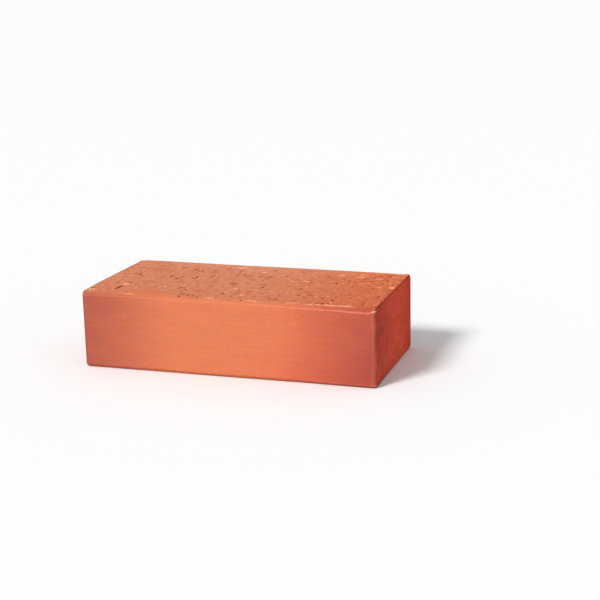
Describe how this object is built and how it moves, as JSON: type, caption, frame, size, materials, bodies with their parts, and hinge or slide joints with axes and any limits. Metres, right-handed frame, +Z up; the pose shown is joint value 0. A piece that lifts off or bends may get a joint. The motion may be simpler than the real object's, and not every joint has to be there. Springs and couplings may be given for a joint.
{
  "type": "clay brick",
  "caption": "Solid fired clay facing brick: a block with rounded upright arrises, a bevel round each bed and wire-cut tears in the upper bed.",
  "frame": {"origin": "centre of the lower bed, the face that the brick lies on", "axes": "+X along the length, +Y across the width, +Z up through the upper bed"},
  "size_m": [0.25, 0.12, 0.065],
  "materials": {
    "fired_clay": "matt orange-red fired clay, satin on the die-smooth faces, rough and pitted on the wire-cut beds"
  },
  "bodies": {
    "root": {"clay_brick": "fired_clay"}
  },
  "joints": []
}
